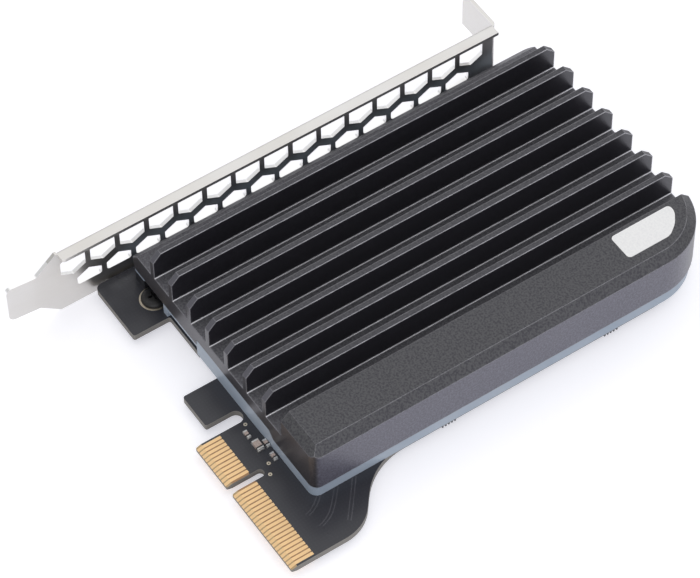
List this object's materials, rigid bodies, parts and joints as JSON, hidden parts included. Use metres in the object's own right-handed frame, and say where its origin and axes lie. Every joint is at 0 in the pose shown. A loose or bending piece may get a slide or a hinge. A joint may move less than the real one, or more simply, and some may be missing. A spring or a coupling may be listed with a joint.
{
  "type": "nvme adapter card",
  "caption": "Plug-in adapter card that carries a solid-state drive under a tall finned heatsink with a solid side block, held to a perforated slot bracket and ending in a gold card edge.",
  "frame": {"origin": "bracket-side corner of the edge contacts' tips, on the board's component face", "axes": "+X along the card away from the bracket, +Y from the contact tips to the card's top, +Z out of the component side"},
  "size_m": [0.0929, 0.1288, 0.0189],
  "materials": {
    "solder_mask": "glossy black solder mask over glass-fibre board",
    "contact_gold": "gold plating, satin",
    "plated_steel": "bright nickel-plated steel sheet",
    "black_steel": "black oxide steel",
    "black_anodised": "black anodised aluminium, fine satin grain",
    "frame_plastic": "pale blue-grey matt plastic",
    "pad_rubber": "soft silicone thermal pad",
    "socket_plastic": "black moulded plastic",
    "tin": "bright tin plating",
    "standoff_brass": "plain brass",
    "screw_steel": "zinc-plated steel",
    "capacitor_ceramic": "pale fired ceramic"
  },
  "bodies": {
    "root": {"circuit_board": "solder_mask", "contacts_front": "contact_gold", "contacts_back": "contact_gold", "slot_bracket": "plated_steel", "bracket_screws": "black_steel", "screw_rings": "contact_gold", "heatsink": "black_anodised", "spacer_frame": "frame_plastic", "heatsink_screws": "black_steel", "thermal_pad": "pad_rubber", "socket_housing": "socket_plastic", "socket_tails": "tin", "socket_anchors": "tin", "drive_standoff": "standoff_brass", "drive_screw": "screw_steel", "large_capacitor_body": "capacitor_ceramic", "large_capacitor_terminals": "tin", "small_capacitor_bodies": "capacitor_ceramic", "small_capacitor_terminals": "tin", "via_caps": "contact_gold"}
  },
  "joints": []
}
